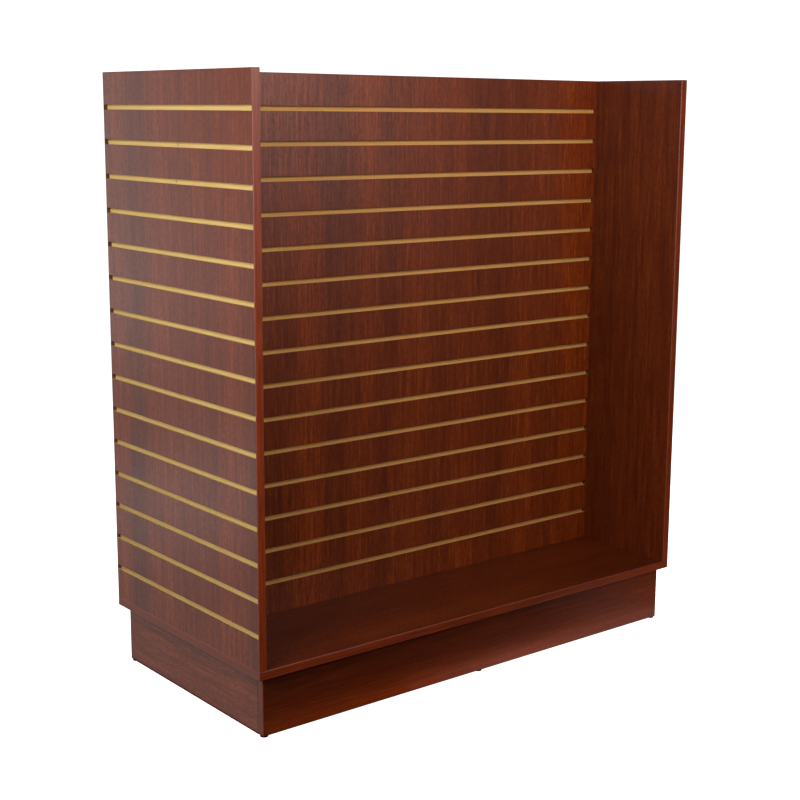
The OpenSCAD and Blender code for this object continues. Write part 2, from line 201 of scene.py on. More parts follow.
@dataclass(frozen=True)
class CherryLaminate(Finish):
    """High-pressure laminate with a printed cherry grain, pressed with a satin face.

    The print gives short fine ticks and dark pores over faint broader figure, and it drifts
    from lighter to darker across the board. The melamine face gives an even soft gloss over
    them.
    """

    grain: Grain = Grain.UPRIGHT
    place: float = 0.0
    # How light the sheet is beside the others. The tones are set sheet by sheet and hold light and shade
    # as well as the print's cut: painted light on the lighter centre, painted shade on the darker deck
    # and plinth
    tone: float = 1.0
    dark: str = "#5F1D01"
    middle: str = "#732A03"
    light: str = "#88390A"
    # The pattern's values at which those three colours show
    contrast: tuple[float, float, float] = (0.36, 0.5, 0.64)
    # The print's ticks are 0.5 mm wide: they are drawn wider here, or they wouldn't show
    tick: float = 3.4 * MM
    tick_length: float = 9 * MM
    # What a dark and a light tick do to the red, green and blue of the print under them; the light
    # tick's lift in green and blue is partly print, partly a painted sheen that greys the print as gloss
    # would
    dark_tick: Colour = (0.78, 0.66, 0.2, 1.0)
    light_tick: Colour = (1.22, 1.36, 1.9, 1.0)
    # Its streaks are 1 to 2 mm wide, and are drawn wider for the same reason
    streak: float = 4.6 * MM
    streak_length: float = 120 * MM
    figure: float = 18 * MM
    figure_length: float = 520 * MM
    # The broad figure's share beside the streaks
    figure_share: float = 0.25
    drift: float = 120 * MM
    drift_length: float = 2400 * MM
    # How much lighter and darker the drift makes the print
    drift_share: float = 0.28
    # Its pores are as fine as its ticks, and are drawn wider too
    pore: float = 3.4 * MM
    pore_length: float = 22 * MM
    # The pattern's values between which a pore darkens, and how far it does
    pore_edge: tuple[float, float] = (0.56, 0.68)
    pore_depth: float = 0.7
    roughness: float = 0.38
    # The pressed face is a little rougher in the print's dark ticks
    matt_ticks: float = 0.06
    relief: float = 0.05 * MM
    relief_strength: float = 0.12
    ior: float = 1.53

    def shader(self, tree: bpy.types.NodeTree) -> bpy.types.Node:
        """Builds the printed grain under the satin melamine face.

        Args:
            tree: The material's node tree.

        Returns:
            The shader.
        """
        # Each pattern starts some steps from the others, so that no two of them lie alike
        ticks = self.pattern(tree, self.grain.cells(self.tick, self.tick_length),
                             self.place + 7, detail=2.0)
        streaks = self.pattern(tree, self.grain.cells(self.streak, self.streak_length),
                               self.place, detail=3.0, crispness=0.62)
        gloss = add_node(tree, "ShaderNodeMapRange", {
            "Value": ticks, "From Min": PATTERN_LOW, "From Max": PATTERN_HIGH,
            "To Min": self.roughness + self.matt_ticks,
            "To Max": self.roughness - self.matt_ticks}).outputs[0]
        bump = add_node(tree, "ShaderNodeBump", {
            "Height": streaks, "Strength": self.relief_strength,
            "Distance": self.relief}).outputs[0]
        return add_node(tree, "ShaderNodeBsdfPrincipled", {
            "Base Color": self.pored(tree, self.ticked(tree, self.drifted(tree, streaks), ticks)),
            "Normal": bump, "IOR": self.ior, "Roughness": gloss})

    def drifted(self, tree: bpy.types.NodeTree, streaks: Socket) -> Socket:
        """Colours the streaks and the broad figure, and lets them drift across the board.

        Args:
            tree: The material's node tree.
            streaks: The streaks' pattern.

        Returns:
            The print's colour.
        """
        figure = self.pattern(tree, self.grain.cells(self.figure, self.figure_length),
                              self.place + 3, detail=2.0, waver=0.4)
        drift = self.pattern(tree, self.grain.cells(self.drift, self.drift_length),
                             self.place + 9, detail=1.0)
        mixed = add_node(tree, "ShaderNodeMix", {
            MIX_SHARE: self.figure_share, MIX_A: streaks, MIX_B: figure}).outputs[MIXED]
        colours = [linear(code, self.tone) for code in (self.dark, self.middle, self.light)]
        printed = add_node(tree, "ShaderNodeValToRGB", {"Fac": mixed},
                           stops=zip(self.contrast, colours)).outputs[0]
        share = add_node(tree, "ShaderNodeMapRange", {
            "Value": drift, "From Min": PATTERN_LOW, "From Max": PATTERN_HIGH,
            "To Min": 1 - self.drift_share, "To Max": 1 + self.drift_share}).outputs[0]
        return add_node(tree, "ShaderNodeMix", {
            MIX_SHARE: 1.0, MIX_COLOUR_A: printed, MIX_COLOUR_B: share},
            data_type="RGBA", blend_type="MULTIPLY").outputs[MIXED_COLOUR]

    def ticked(self, tree: bpy.types.NodeTree, colour: Socket, ticks: Socket) -> Socket:
        """Lays the short dark and light ticks over the print's colour.

        Args:
            tree: The material's node tree.
            colour: The print's colour.
            ticks: The ticks' pattern.

        Returns:
            The colour with the ticks on it.
        """
        shade = add_node(tree, "ShaderNodeValToRGB", {"Fac": ticks}, stops=(
            (PATTERN_LOW, self.dark_tick), (PATTERN_HIGH, self.light_tick))).outputs[0]
        return add_node(tree, "ShaderNodeMix", {
            MIX_SHARE: 1.0, MIX_COLOUR_A: colour, MIX_COLOUR_B: shade},
            data_type="RGBA", blend_type="MULTIPLY").outputs[MIXED_COLOUR]

    def pored(self, tree: bpy.types.NodeTree, colour: Socket) -> Socket:
        """Lays the dark pores over the print's colour.

        Args:
            tree: The material's node tree.
            colour: The print's colour.

        Returns:
            The colour with the pores on it.
        """
        pores = self.pattern(tree, self.grain.cells(self.pore, self.pore_length),
                             self.place + 5, detail=2.0)
        share = add_node(tree, "ShaderNodeMapRange", {
            "Value": pores, "From Min": self.pore_edge[0], "From Max": self.pore_edge[1],
            "To Min": 0.0, "To Max": self.pore_depth}).outputs[0]
        return add_node(tree, "ShaderNodeMix", {
            MIX_SHARE: share, MIX_COLOUR_A: colour,
            MIX_COLOUR_B: linear(self.dark, self.tone)},
            data_type="RGBA").outputs[MIXED_COLOUR]


@dataclass(frozen=True)
class Clouded(Finish):
    """A plain surface whose colour wanders between two tones in soft clouds."""

    dark: str
    light: str
    cell: float
    roughness: tuple[float, float]
    metallic: float = 0.0
    ior: float = 1.5
    relief: float = 0.0
    relief_strength: float = 0.2
    # The pattern's values at which the dark and the light tone show
    contrast: tuple[float, float] = (0.34, 0.66)

    def shader(self, tree: bpy.types.NodeTree) -> bpy.types.Node:
        """Builds the clouds, which change the colour, the gloss and the relief a little.

        Args:
            tree: The material's node tree.

        Returns:
            The shader.
        """
        cloud = self.pattern(tree, (self.cell,) * 3, detail=4.0)
        tones = (linear(self.dark), linear(self.light))
        colour = add_node(tree, "ShaderNodeValToRGB", {"Fac": cloud},
                          stops=zip(self.contrast, tones)).outputs[0]
        gloss = add_node(tree, "ShaderNodeMapRange", {
            "Value": cloud, "From Min": PATTERN_LOW, "From Max": PATTERN_HIGH,
            "To Min": self.roughness[0], "To Max": self.roughness[1]}).outputs[0]
        bump = add_node(tree, "ShaderNodeBump", {
            "Height": cloud, "Strength": self.relief_strength,
            "Distance": self.relief}).outputs[0]
        return add_node(tree, "ShaderNodeBsdfPrincipled", {
            "Base Color": colour, "Normal": bump, "IOR": self.ior, "Metallic": self.metallic,
            "Roughness": gloss})


@dataclass(frozen=True)
class CherryEdgeBand(Finish):
    """PVC edge banding printed with cherry grain, buffed to a soft shine."""

    grain: Grain = Grain.UPRIGHT
    dark: str = "#7B2C0D"
    light: str = "#9A3D18"
    # The pattern's values at which those two colours show
    contrast: tuple[float, float] = (0.35, 0.65)
    # The band's printed streaks are about 1 mm wide and are drawn wider, to show
    streak: float = 2.2 * MM
    streak_length: float = 70 * MM
    roughness: tuple[float, float] = (0.3, 0.38)
    ior: float = 1.52

    def shader(self, tree: bpy.types.NodeTree) -> bpy.types.Node:
        """Builds the printed streaks and the buffed face.

        Args:
            tree: The material's node tree.

        Returns:
            The shader.
        """
        streaks = self.pattern(tree, self.grain.cells(self.streak, self.streak_length), place=2.0)
        tones = (linear(self.dark), linear(self.light))
        colour = add_node(tree, "ShaderNodeValToRGB", {"Fac": streaks},
                          stops=zip(self.contrast, tones)).outputs[0]
        gloss = add_node(tree, "ShaderNodeMapRange", {
            "Value": streaks, "From Min": PATTERN_LOW, "From Max": PATTERN_HIGH,
            "To Min": self.roughness[0], "To Max": self.roughness[1]}).outputs[0]
        return add_node(tree, "ShaderNodeBsdfPrincipled", {
            "Base Color": colour, "IOR": self.ior, "Roughness": gloss})


@dataclass(frozen=True)
class RawFibreboard(Finish):
    """Medium-density fibreboard, routed: pale tan, matt and faintly furry along the cut."""

    grain: Grain
    dark: str
    light: str
    # Fibre bundles are under 1 mm: they are drawn as 1.5 mm clouds
    fibre: float = 1.5 * MM
    # Nicks in the router's cutter leave fine lines along its cut: they are drawn wider, to show
    tool_mark: float = 2.2 * MM
    tool_mark_length: float = 90 * MM
    # The marks' share beside the fibres
    mark_share: float = 0.4
    relief: float = 0.15 * MM
    relief_strength: float = 0.35
    roughness: float = 0.88
    ior: float = 1.45

    def shader(self, tree: bpy.types.NodeTree) -> bpy.types.Node:
        """Builds the fibres and the router's marks.

        Args:
            tree: The material's node tree.

        Returns:
            The shader.
        """
        fibres = self.pattern(tree, (self.fibre,) * 3, detail=4.0)
        marks = self.pattern(tree, self.grain.cells(self.tool_mark, self.tool_mark_length), place=1.0)
        mixed = add_node(tree, "ShaderNodeMix", {
            MIX_SHARE: self.mark_share, MIX_A: fibres, MIX_B: marks}).outputs[MIXED]
        colour = add_node(tree, "ShaderNodeValToRGB", {"Fac": mixed}, stops=(
            (PATTERN_LOW, linear(self.dark)), (PATTERN_HIGH, linear(self.light)))).outputs[0]
        bump = add_node(tree, "ShaderNodeBump", {
            "Height": mixed, "Strength": self.relief_strength,
            "Distance": self.relief}).outputs[0]
        return add_node(tree, "ShaderNodeBsdfPrincipled", {
            "Base Color": colour, "Normal": bump, "Roughness": self.roughness, "IOR": self.ior})


@dataclass(frozen=True)
class PlanedPine(Finish):
    """Planed pine, unfinished: pale sapwood between darker late-wood lines along the grain."""

    grain: Grain = Grain.UPRIGHT
    late_wood: str = "#B98445"
    early_wood: str = "#DDBB86"
    sapwood: str = "#E8CDA0"
    # The pattern's values at which those three colours show
    contrast: tuple[float, float, float] = (0.36, 0.5, 0.7)
    # Late-wood lines lie 3 to 6 mm apart
    ring: float = 4.5 * MM
    ring_length: float = 420 * MM
    relief: float = 0.1 * MM
    relief_strength: float = 0.2
    roughness: float = 0.6

    def shader(self, tree: bpy.types.NodeTree) -> bpy.types.Node:
        """Builds the late-wood lines.

        Args:
            tree: The material's node tree.

        Returns:
            The shader.
        """
        lines = self.pattern(tree, self.grain.cells(self.ring, self.ring_length), place=4.0,
                             waver=0.6)
        woods = [linear(code) for code in (self.late_wood, self.early_wood, self.sapwood)]
        colour = add_node(tree, "ShaderNodeValToRGB", {"Fac": lines},
                          stops=zip(self.contrast, woods)).outputs[0]
        bump = add_node(tree, "ShaderNodeBump", {
            "Height": lines, "Strength": self.relief_strength,
            "Distance": self.relief}).outputs[0]
        return add_node(tree, "ShaderNodeBsdfPrincipled", {
            "Base Color": colour, "Normal": bump, "Roughness": self.roughness})


# The sawn edge of laminate shows its core of brown kraft paper: matt and dark
LAMINATE_EDGE = Clouded("laminate_kraft_edge", "#4A2A1C", "#5E3825", 3 * MM, (0.66, 0.74))
# The bands' print runs along each band, so the grain that shows is long and fine
BAND_UPRIGHT = CherryEdgeBand("cherry_band_upright", Grain.UPRIGHT)
# The bands along X are made darker than the upright ones: painted shade on the deck's low front and back
# edges, which the centre's top bands share
BAND_ALONG_X = CherryEdgeBand("cherry_band_along_x", Grain.ALONG_X, "#722A0C", "#8F3917")
BAND_ALONG_Y = CherryEdgeBand("cherry_band_along_y", Grain.ALONG_Y)
# The deck's and the plinth's side bands are made darker than the others
SIDE_BAND_ALONG_Y = CherryEdgeBand("cherry_side_band_along_y", Grain.ALONG_Y, "#5F2102", "#772B04")
SIDE_BAND_UPRIGHT = CherryEdgeBand("cherry_side_band_upright", Grain.UPRIGHT, "#531C02", "#6A2604")
# The trimmer cuts through the band's print, so its rounded sides show paler solid PVC; the paler colour
# is also a painted highlight along the rounded arrises
TRIMMED_BAND_AND_HIGHLIGHT = Clouded("trimmed_pvc_and_highlight", "#7F3520", "#8F4029", 5 * MM, (0.36, 0.44), ior=1.52)
# The side that is glued to the board is roughened and keeps a brown film of glue
GLUED_SIDE = Clouded("glued_side_of_band", "#553524", "#67432E", 4 * MM, (0.7, 0.8))
# The end panels' board is made paler and yellower than the others': painted light, for the sheen that
# the end panels' grooves catch
RAW_BOARD_X = RawFibreboard("raw_fibreboard_along_x", Grain.ALONG_X, "#D0954D", "#EDBA6F")
RAW_BOARD_Y = RawFibreboard("raw_fibreboard_along_y", Grain.ALONG_Y, "#CAA35E", "#E6CB85")
# Phenolic balancing sheet on hidden faces: dull brown, with a faint paper mottle
BALANCING_PAPER = Clouded("balancing_paper", "#6B4A31", "#86623F", 6 * MM, (0.58, 0.66))
# The blocks stand and the rails lie, so the pine's lines run upright and along Y
PINE_UPRIGHT = PlanedPine("planed_pine_upright", Grain.UPRIGHT)
PINE_ALONG_Y = PlanedPine("planed_pine_along_y", Grain.ALONG_Y)
# Electroplated zinc on steel: a thin bright coat, duller in the clouds that handling leaves
ZINC = Clouded("zinc_plate", "#9EA2A6", "#BFC2C6", 4 * MM, (0.3, 0.45), metallic=1.0)
# The tie screws' zinc has a yellow chromate film, close to the routed board's colour
YELLOW_ZINC = Clouded("yellow_zinc_plate", "#C4A65C", "#DDC07A", 4 * MM, (0.5, 0.6), metallic=1.0)
# Moulded black polyethylene: waxy, with the mould's faint grain
POLYETHYLENE = Clouded("moulded_polyethylene", "#121110", "#1C1A18", 0.8 * MM, (0.42, 0.55),
                       ior=1.52, relief=0.05 * MM)


def islands(node: str) -> list[list[Vector]]:
    """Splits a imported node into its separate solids.

    Args:
        node: The node's name.

    Returns:
        The corners of each solid.
    """
    bm = bmesh.new()
    bm.from_mesh(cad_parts[node].data)
    bmesh.ops.remove_doubles(bm, verts=bm.verts, dist=WELD)
    left = set(bm.verts)
    found = []
    while left:
        seed = left.pop()
        solid, reached = [seed], [seed]
        while reached:
            here = reached.pop()
            for edge in here.link_edges:
                other = edge.other_vert(here)
                if other in left:
                    left.remove(other)
                    solid.append(other)
                    reached.append(other)
        found.append([v.co.copy() for v in solid])
    bm.free()
    return sorted(found, key=lambda solid: tuple(round(c, 5) for c in box_of(solid)[0]))


def box_of(corners: Iterable[Vector]) -> Box:
    """Gives the box round a set of points.

    Args:
        corners: The points.

    Returns:
        The box's lowest and highest corner.
    """
    corners = list(corners)
    low = Vector([min(c[axis] for c in corners) for axis in range(3)])
    high = Vector([max(c[axis] for c in corners) for axis in range(3)])
    return low, high


def eased_box(bm: bmesh.types.BMesh, box: Box, ease: float,
              chosen: Callable[[Vector, Vector], bool], segments: int) -> None:
    """Adds a board to a mesh with some of its edges eased.

    Args:
        bm: The mesh that takes the board.
        box: The board's lowest and highest corner.
        ease: The radius of an eased edge.
        chosen: Says of an edge's two ends whether that edge is eased.
        segments: How many facets an eased edge has.
    """
    low, high = box
    place = Matrix.Translation((low + high) / 2) @ Matrix.Diagonal((*(high - low), 1))
    corners = bmesh.ops.create_cube(bm, size=1, matrix=place)["verts"]
    edges = {edge for corner in corners for edge in corner.link_edges}
    eased = [edge for edge in edges if chosen(*(v.co for v in edge.verts))]
    eased.sort(key=lambda edge: tuple(round(c, 5) for v in edge.verts for c in v.co))
    rounded = bmesh.ops.bevel(bm, geom=eased, offset=ease, offset_type="OFFSET", affect="EDGES",
                              segments=segments, profile=0.5, material=-1, clamp_overlap=True)
    for face in rounded["faces"]:
        face.smooth = True


def on_side(box: Box, outward: Vector) -> Callable[[Vector], bool]:
    """Says of a point whether it lies on the side of a box that faces outward."""
    far = max(box[0].dot(outward), box[1].dot(outward))
    return lambda point: abs(point.dot(outward) - far) < ON_PLANE


def outer_edges(box: Box, outward: Vector,
                square_ends: Iterable[Vector] = ()) -> Callable[[Vector, Vector], bool]:
    """Chooses the edges round a board's outer side, apart from those at its square ends.

    Args:
        box: The board's lowest and highest corner.
        outward: The direction that its outer side looks.
        square_ends: Directions of the ends whose edges stay square.

    Returns:
        A test that says of an edge's two ends whether that edge is chosen.
    """
    outer = on_side(box, outward)
    ends = [on_side(box, end) for end in square_ends]
    return lambda a, b: outer(a) and outer(b) and not any(end(a) and end(b) for end in ends)


def lathe(bm: bmesh.types.BMesh, profile: Iterable[tuple[float, float]], steps: int) -> None:
    """Turns a profile about Z to a closed solid.

    Args:
        bm: The mesh that takes the solid.
        profile: Radius and height of each point, the first and last on the axis.
        steps: How many facets there are round the axis.
    """
    points = [bm.verts.new((radius, 0, height)) for radius, height in profile]
    edges = [bm.edges.new(pair) for pair in zip(points, points[1:])]
    bmesh.ops.spin(bm, geom=points + edges, cent=(0, 0, 0), axis=(0, 0, 1), dvec=(0, 0, 0),
                   angle=2 * math.pi, steps=steps, use_merge=True, use_duplicate=False)
    bmesh.ops.remove_doubles(bm, verts=bm.verts, dist=WELD)
    bmesh.ops.recalc_face_normals(bm, faces=bm.faces)
    for face in bm.faces:
        face.smooth = True


def make_object(name: str, bm: bmesh.types.BMesh,
                finishes: Iterable[Finish]) -> bpy.types.Object:
    """Turns a mesh to an object at the origin, with its materials.

    Args:
        name: The object's name.
        bm: The mesh, which is freed.
        finishes: The finish of each material index.

    Returns:
        The object, linked to the scene.
    """
    for edge in bm.edges:
        edge.smooth = len(edge.link_faces) == 2 and edge.calc_face_angle(0.0) < SMOOTH_ANGLE
    mesh = bpy.data.meshes.new(name)
    bm.to_mesh(mesh)
    bm.free()
    for finish in finishes:
        mesh.materials.append(finish.material())
    made = bpy.data.objects.new(name, mesh)
    bpy.context.scene.collection.objects.link(made)
    return made


def place_piece(piece: bpy.types.Object, slot: str, *nodes: str) -> None:
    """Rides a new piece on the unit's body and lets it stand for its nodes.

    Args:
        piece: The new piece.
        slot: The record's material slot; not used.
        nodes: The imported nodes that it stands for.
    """
    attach(piece, ROOT)
    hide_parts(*nodes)
    LOG.info("%s: %d faces, for %s", piece.name, len(piece.data.polygons), ", ".join(nodes))


def dress(node: str, finish: Finish) -> None:
    """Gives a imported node, whose shape is right, its finish.

    Args:
        node: The node's name.
        finish: The finish that it gets.
    """
    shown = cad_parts[node]
    shown.data.materials.clear()
    shown.data.materials.append(finish.material())
    LOG.info("%s: %s", node, finish.name)


def bare_sides(faces: Iterable[bmesh.types.BMFace], outward: Vector) -> None:
    """Gives a band's sides and rounded arrises the paler material of its bare core and painted
    highlight, and its back the glue's.

    Args:
        faces: The band's faces.
        outward: The direction that its printed face looks.
    """
    for face in faces:
        facing = face.normal.dot(outward)
        face.material_index = 0 if facing > FLAT else 1 if facing > -FACING else 2


@dataclass
class EdgeBand:
    """A thin band glued on a board's edge, its outer arrises rounded by the trimmer."""

    node: str
    # The direction that its printed face looks
    outward: Vector
    finish: Finish
    # Directions of the band's ends that stay square, where it meets another piece
    square_ends: tuple[Vector, ...] = ()
    # The trimmer rounds nearly the whole of the band's 2 mm
    radius: float = 1.9 * MM
    facets: int = 4

    def build(self) -> None:
        """Builds the band in place of its node, each of its solids with rounded arrises."""
        bm = bmesh.new()
        for solid in islands(self.node):
            box = box_of(solid)
            eased_box(bm, box, self.radius,
                      outer_edges(box, self.outward, self.square_ends), self.facets)
        bare_sides(bm.faces, self.outward)
        piece = make_object(f"{self.node}_trimmed", bm, [self.finish, TRIMMED_BAND_AND_HIGHLIGHT, GLUED_SIDE])
        place_piece(piece, "cherry_edge_band", self.node)


@dataclass
class SlattedSheet:
    """A slatwall sheet: a grooved core, laminate strips on its face and a sheet on its back."""

    name: str
    # The direction that its slatted face looks, and the one that its grooves run along
    outward: Vector
    along: Vector
    # Where in the print the sheet's laminate is cut from, and how light it is
    place: float
    tone: float = 1.0
    # The strips' arrises are filed after routing, as far as the laminate allows
    arris: float = 0.3 * MM
    arris_facets: int = 2

    def laminate(self) -> CherryLaminate:
        """Gives the sheet's own laminate, its tone partly painted light and shade."""
        return CherryLaminate(f"cherry_laminate_{self.name}", place=self.place, tone=self.tone)

    def strips(self) -> None:
        """Builds the laminate strips between the grooves, with filed arrises and kraft edges."""
        node = f"{self.name}_slat_faces"
        square_ends = (self.along, -self.along)
        bm = bmesh.new()
        for solid in islands(node):
            box = box_of(solid)
            eased_box(bm, box, self.arris, outer_edges(box, self.outward, square_ends),
                      self.arris_facets)
        for face in bm.faces:
            face.material_index = 1 if abs(face.normal.z) > FACING else 0
        piece = make_object(f"{self.name}_slat_strips", bm, [self.laminate(), LAMINATE_EDGE])
        place_piece(piece, "cherry_laminate", node)

    def core(self) -> None:
        """Dresses the routed core, whose tool marks run along the grooves."""
        dress(f"{self.name}_core", RAW_BOARD_X if self.along == X else RAW_BOARD_Y)


@dataclass
class EndPanel(SlattedSheet):
    """An end panel: slatted outside, plain cherry inside, banded on three edges."""

    tone: float = 0.8
    # The inner sheet's print drifts less across the board than the slatted face's
    inner_drift: float = 0.1

    def build(self) -> None:
        """Builds and dresses every piece of the panel."""
        self.core()
        self.strips()
        dress(f"{self.name}_inner_face", CherryLaminate(
            f"cherry_laminate_{self.name}_inner", place=self.place + 2, tone=self.tone,
            drift_share=self.inner_drift))
        EdgeBand(f"{self.name}_front_band", -Y, BAND_UPRIGHT, (-Z,)).build()
        EdgeBand(f"{self.name}_back_band", Y, BAND_UPRIGHT, (-Z,)).build()
        EdgeBand(f"{self.name}_top_band", Z, BAND_ALONG_Y, (Y, -Y)).build()


@dataclass
class CentreSheet(SlattedSheet):
    """A centre sheet: slatted on its face, balanced on its back, banded on top."""

    # The centre sheets' laminate is made lighter than the other sheets': painted light
    tone: float = 1.25

    def build(self) -> None:
        """Builds and dresses every piece of the sheet."""
        self.core()
        self.strips()
        dress(f"{self.name}_backer", BALANCING_PAPER)
        # The band's inner arris meets the other sheet's band, and its ends meet the end panels
        EdgeBand(f"{self.name}_top_band", Z, BAND_ALONG_X, (X, -X, -self.outward)).build()


@dataclass
class Deck:
    """The deck board, with its laminate, its balancing sheet and four edge bands."""

    # The deck's laminate is made darker: painted shade, for the weaker light low at the front
    laminate: CherryLaminate = CherryLaminate("cherry_laminate_deck", Grain.ALONG_X, place=8.0,
                                              tone=0.73)

    def build(self) -> None:
        """Builds and dresses every piece of the deck."""
        dress("deck_board", RAW_BOARD_X)
        dress("deck_top_face", self.laminate)
        dress("deck_under_face", BALANCING_PAPER)
        EdgeBand("deck_front_band", -Y, BAND_ALONG_X).build()
        EdgeBand("deck_back_band", Y, BAND_ALONG_X).build()
        EdgeBand("deck_left_band", -X, SIDE_BAND_ALONG_Y, (Y, -Y)).build()
        EdgeBand("deck_right_band", X, SIDE_BAND_ALONG_Y, (Y, -Y)).build()


@dataclass
class Plinth:
    """The recessed plinth: four boards, banded ends, two cross rails and four corner blocks."""

    arris: float = 0.5 * MM
    arris_facets: int = 3
    # How light the laminate of the long boards and of the side boards is: darker than the sheets', as
    # painted shade for the weaker light low at the front
    long_tone: float = 0.7
    side_tone: float = 0.72

    def board(self, node: str, outward: Vector, finish: Finish,
              square_ends: tuple[Vector, ...]) -> None:
        """Builds one plinth board with eased outer arrises and a raw lower edge.

        Args:
            node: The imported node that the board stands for.
            outward: The direction that its face looks.
            finish: The laminate on its faces.
            square_ends: Directions of its ends that meet another piece.
        """
        bm = bmesh.new()
        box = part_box(node)
        eased_box(bm, box, self.arris, outer_edges(box, outward, square_ends),
                  self.arris_facets)
        for face in bm.faces:
            face.material_index = 1 if face.normal.z < -FACING else 0
        piece = make_object(f"{node}_faced", bm, [finish, RAW_BOARD_X])
        place_piece(piece, "cherry_laminate", node)

    def build(self) -> None:
        """Builds and dresses every piece of the plinth."""
        for name, outward, place in (("front", -Y, 12.0), ("back", Y, 14.0)):
            laminate = CherryLaminate(f"cherry_laminate_{name}_kick", Grain.ALONG_X, place,
                                      self.long_tone)
            self.board(f"{name}_kick_board", outward, laminate, (X, -X, Z))
        for name, outward, place in (("left", -X, 16.0), ("right", X, 18.0)):
            laminate = CherryLaminate(f"cherry_laminate_{name}_kick", Grain.ALONG_Y, place,
                                      self.side_tone)
            self.board(f"{name}_kick_board", outward, laminate, (Y, -Y, Z))
        for name in ("front", "back"):
            self.end_bands(f"{name}_kick_end_bands")
        for side in ("left", "right"):
            dress(f"{side}_cross_rail", PINE_ALONG_Y)
            for end in ("front", "back"):
                dress(f"{end}_{side}_block", PINE_UPRIGHT)

    def end_bands(self, node: str) -> None:
        """Builds the two end bands of a long plinth board, each rounded on its outer face.

        Args:
            node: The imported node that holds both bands.
        """
        bm = bmesh.new()
        for solid in islands(node):
            box = box_of(solid)
            outward = X if box[0].x > 0 else -X
            eased_box(bm, box, EdgeBand.radius, outer_edges(box, outward, (Z,)),
                      EdgeBand.facets)
            bare_sides((face for face in bm.faces if face.verts[0].co.dot(outward) > 0), outward)
        piece = make_object(f"{node}_trimmed", bm, [SIDE_BAND_UPRIGHT, TRIMMED_BAND_AND_HIGHLIGHT, GLUED_SIDE])
        place_piece(piece, "cherry_edge_band", node)


@dataclass
class Glides:
    """The nail-on glides under the plinth, moulded round their nails' heads."""

    edge_radius: float = 1.4 * MM
    arc_steps: int = 5
    steps: int = 48

    def build(self) -> None:
        """Builds each glide as a turned disc with a rounded foot, and dresses the nails."""
        for end in ("front", "back"):
            for side in ("left", "middle", "right"):
                self.glide(f"{end}_{side}_glide")
        dress("glide_nails", ZINC)

    def glide(self, node: str) -> None:
        """Builds one glide in place of its node.

        Args:
            node: The node's name.
        """
        low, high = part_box(node)
        radius, height = (high.x - low.x) / 2, high.z - low.z
        round_x = radius - self.edge_radius
        arc = [math.radians(-90 + 90 * i / self.arc_steps) for i in range(self.arc_steps + 1)]
        profile = [(0, 0)]
        profile += [(round_x + self.edge_radius * math.cos(a),
                     self.edge_radius * (1 + math.sin(a))) for a in arc]
        profile += [(radius, height), (0, height)]
        bm = bmesh.new()
        lathe(bm, profile, self.steps)
        middle = (low + high) / 2
        bmesh.ops.translate(bm, verts=bm.verts, vec=(middle.x, middle.y, low.z))
        place_piece(make_object(f"{node}_moulded", bm, [POLYETHYLENE]), "black_plastic", node)


@dataclass(frozen=True)
class ScrewSeat:
    """Where a screw sits: the middle of its head, the way it points and its sizes."""

    head: Vector
    direction: Vector
    length: float
    shank: float
    head_width: float


